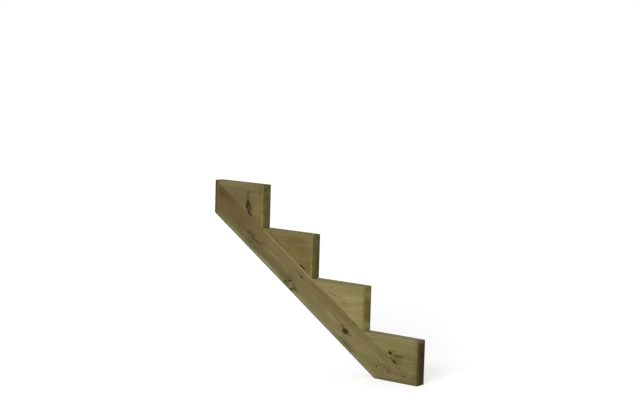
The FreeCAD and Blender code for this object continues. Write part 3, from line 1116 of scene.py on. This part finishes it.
# %% Gouge the spine
SPINE_GOUGES = [
    # In the oval knot and the one beside it
    gouge(844, -56, 21, 12, 4, -10), gouge(870, -53, 6, 3.4, 2),
    # Torn grain above the oval knot
    gouge(819, -46.5, 17, 2.6, 2.5, -25), gouge(823, -52.5, 16, 2.2, 2, -20),
    gouge(837, -33.5, 11, 2, 2, -46), gouge(846, -21.5, 7, 1.4, 2, -55),
    # The long scar
    gouge(260, -59, 20, 1.8, 2, -10), gouge(286, -60, 16, 1.6, 2, 15),
    # The broken knot on the lower edge
    gouge(511.5, -94.5, 12, 6, 3, -64), gouge(530, -74.5, 20, 5.5, 3, -41), gouge(527, -97, 9, 5, 2, -40),
    gouge(551.5, -101, 11, 6, 3, -60), gouge(562.5, -85.5, 9, 5, 3, -48), gouge(574, -91.5, 9, 4, 2, 20),
    # The rough patch near the foot
    gouge(1026, -46, 8, 3, 1.5, 52), gouge(1036, -51, 6, 3, 1.2, 20), gouge(1031, -63.5, 8, 4, 1.5, 40),
    gouge(1057, -38, 7, 3, 1.5, 40), gouge(1067, -41, 9, 3, 1.5, 45), gouge(1059, -49, 7, 3, 1.5, 55),
    gouge(1054, -64, 7, 3, 1.5, 50), gouge(1066, -59.5, 7, 3, 1.5, 55), gouge(1078, -47, 8, 3.4, 1.5, 40),
    # Two small knots
    gouge(1143, -11, 8, 3, 2, 10), gouge(838, -94, 5, 3, 1.5, 30),
    # The far side: the oval knot and two drying checks
    gouge(846, -56, 13, 8, 3, 14, FAR), gouge(420, -60, 110, 1.0, 5, 1, FAR),
    gouge(880, -40, 90, 1.2, 5, -2, FAR),
    # The lower end of the long scar
    gouge(310, -60, 18, 1.4, 2, -6), gouge(333, -54, 14, 1.3, 2, -22),
]
tear(spine, UPPER_TIP, PITCH, SPINE_GOUGES)

# %% Gouge the blocks
BLOCK_GOUGES = {
    "step_1": [
        gouge(126, -63, 16, 8, 6, 28), gouge(146, -95, 14, 8, 5, 36),
        gouge(171, -113, 9, 3, 2, DOWN_JOINT), gouge(155, -71, 30, 1.4, 2, -4), gouge(132, -82, 4, 3, 2),
        gouge(70, -30, 80, 1.0, 5, 1, FAR), pit(6, -60, 1.2, 30, 4), pit(-9, -110, 1.2, 22, 4),
    ],
    "step_2": [
        gouge(180, -74, 104, 1.0, 4, -7), gouge(206, -79, 46, 1.0, 4, -4),
        gouge(100, -46, 40, 1.6, 4, 22), gouge(181, -41, 26, 0.9, 3, -9), gouge(98, -20, 22, 0.8, 3),
        gouge(224, -103, 9, 2, 2), gouge(40, -28, 34, 4, 3, DOWN_JOINT),
        gouge(150, -60, 70, 1.0, 5, 2, FAR), pit(2, -75, 1.2, 34, 4),
    ],
    "step_3": [
        gouge(202, -134, 26, 12, 6, 37), gouge(120, -20, 60, 0.9, 4, 0, FAR), pit(-1, -62, 3, 5, 2),
        pit(8, -120, 1.2, 26, 4),
    ],
    "step_4": [
        gouge(169, -85, 14, 34, 5, 16), gouge(184, -119, 28, 8, 6, 38), gouge(172, -34, 5, 6, 2),
        gouge(90, -25, 70, 1.0, 4, 1, FAR), pit(-10, -22, 4, 9, 3), pit(-3, -56, 3, 8, 3),
    ],
}
for block, tip in zip(blocks, tips):
    tear(block, tip, 0, BLOCK_GOUGES[block.name])

# %% [markdown]
# ## Hand the boards over
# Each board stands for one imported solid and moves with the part's only body. All its faces could be left
# flat, but smoothing by angle keeps the sawn edges crisp and the planed arrises round.

# %% Ride and replace
SMOOTH_ANGLE = math.radians(35)

for piece, node in [(spine, "spine"), *zip(blocks, block_names)]:
    select_only(piece)
    bpy.ops.object.shade_smooth_by_angle(angle=SMOOTH_ANGLE)
    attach(piece, "root")
    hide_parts(node)
print("boards in place:", len(blocks) + 1)

# %% [markdown]
# ## The dowels
# Two beech dowels pin each block to the spine. They could be modelled again, but they sit wholly inside the
# wood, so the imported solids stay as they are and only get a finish, in case a board is ever hidden. Their
# grain runs along the dowel, square to the joint.

# %% Beech finish
BEECH_PITH = (0, 90, 0)
BEECH_SLOPE = 0.02
BEECH_PALE = paint(204, 168, 128)
BEECH_DARK = paint(184, 142, 102)
BEECH_FLECK = paint(158, 112, 78)
FLECK_LUMPS = (5, 0.8, 0.8)
FLECKS = (0.62, 0.7)
BEECH_ROUGHNESS = (0.2, 0.8, 0.5, 0.7)
BEECH_BUMP = 0.2
BEECH_BUMP_DEPTH = 0.0004

beech, kit, shader = new_finish("dowel_beech")
dowel_axes = board_axes(kit, UPPER_TIP, PITCH - math.pi / 2)
grown = {"Board": dowel_axes, "Pith": BEECH_PITH, "Slope": BEECH_SLOPE, "Swell": 0.0}
wood = kit.group(growth_rings, grown)
flecks = kit.between(kit.noise(dowel_axes, FLECK_LUMPS, detail=1), *FLECKS)
colour = kit.mix(wood["Latewood"], BEECH_PALE, BEECH_DARK)
kit.feed(shader["Base Color"], kit.mix(flecks, colour, BEECH_FLECK))
kit.feed(shader["Roughness"], kit.between(wood["Fibre"], *BEECH_ROUGHNESS))
add_bump(kit, shader, wood["Fibre"], BEECH_BUMP, BEECH_BUMP_DEPTH)
print("beech finish:", len(beech.node_tree.nodes), "nodes")

# %% Dress the dowels
dowels = frame["nodes"]["joint_dowels"]
for index in range(len(dowels.material_slots)):
    dowels.material_slots[index].material = beech
print("dowels:", dowels.name, "with", len(dowels.material_slots), "finish")

# %% [markdown]
# ## Floor
# The stringer stands on white paper. More light would make the paper white, but it would wash out the wood
# as well. So the paper takes and returns light like any pale surface, and a little extra glow that only the
# camera and reflections see lifts it to white. The soft shadow stays, and no light is added to the wood.

# %% Lay the floor
FLOOR_SIZE = 400
FLOOR_GREY = 0.8
FLOOR_LIFT = 0.52
WHITE = (1, 1, 1, 1)


def seen_directly(kit):
    """1 for rays from the camera, reflections and refractions; 0 for the light that falls on things."""
    path = kit.add("ShaderNodeLightPath", {}).outputs
    seen = kit.math("MAXIMUM", path["Is Camera Ray"], path["Is Glossy Ray"])
    return kit.math("MAXIMUM", seen, path["Is Transmission Ray"])


bpy.ops.object.select_all(action="DESELECT")
bpy.ops.mesh.primitive_plane_add(size=FLOOR_SIZE, location=(0, 0, 0))
floor = bpy.context.object
floor.name = "floor"
paper, kit, shader = new_finish("floor_paper")
shader["Base Color"].default_value = (FLOOR_GREY, FLOOR_GREY, FLOOR_GREY, 1)
shader["Roughness"].default_value = 1
shader["Specular IOR Level"].default_value = 0
shader["Emission Color"].default_value = WHITE
kit.feed(shader["Emission Strength"], kit.times(seen_directly(kit), FLOOR_LIFT))
floor.data.materials.append(paper)
print("floor:", FLOOR_SIZE, "m")

# %% [markdown]
# ## Light
# The photograph was taken in flat, soft light from the front left. Large lamps could give that, but a wide
# sun is even over the whole part, and an even white sky fills the shadows. Together they bring a near face
# to about the colour that its finish is written in. A second, level sun from behind does the same for the
# far side, and only grazes the faces that the photograph shows.

# %% Light the scene
AMBIENT = 0.42
KEY_LEVEL = 0.58
KEY_FROM = Vector((0.17, -0.92, 0.35))
FILL_LEVEL = 0.45
FILL_FROM = Vector((-0.45, 0.89, 0))
SUN_SPREAD = math.radians(30)

world = bpy.data.worlds.new("studio")
bpy.context.scene.world = world
world.use_nodes = True
kit = Nodes(world.node_tree)
sky = world.node_tree.nodes["Background"]
sky.inputs["Color"].default_value = WHITE
kit.feed(sky.inputs["Strength"], kit.between(seen_directly(kit), 0, 1, AMBIENT, 1))
bpy.context.scene.view_settings.view_transform = "Standard"

for name, level, source in (("key", KEY_LEVEL, KEY_FROM), ("fill", FILL_LEVEL, FILL_FROM)):
    sun = bpy.data.objects.new(name, bpy.data.lights.new(name, "SUN"))
    bpy.context.scene.collection.objects.link(sun)
    sun.data.energy = level * math.pi
    sun.data.angle = SUN_SPREAD
    sun.rotation_euler = source.to_track_quat("Z", "Y").to_euler()
    print(f"{name} light from", [round(c, 2) for c in source])
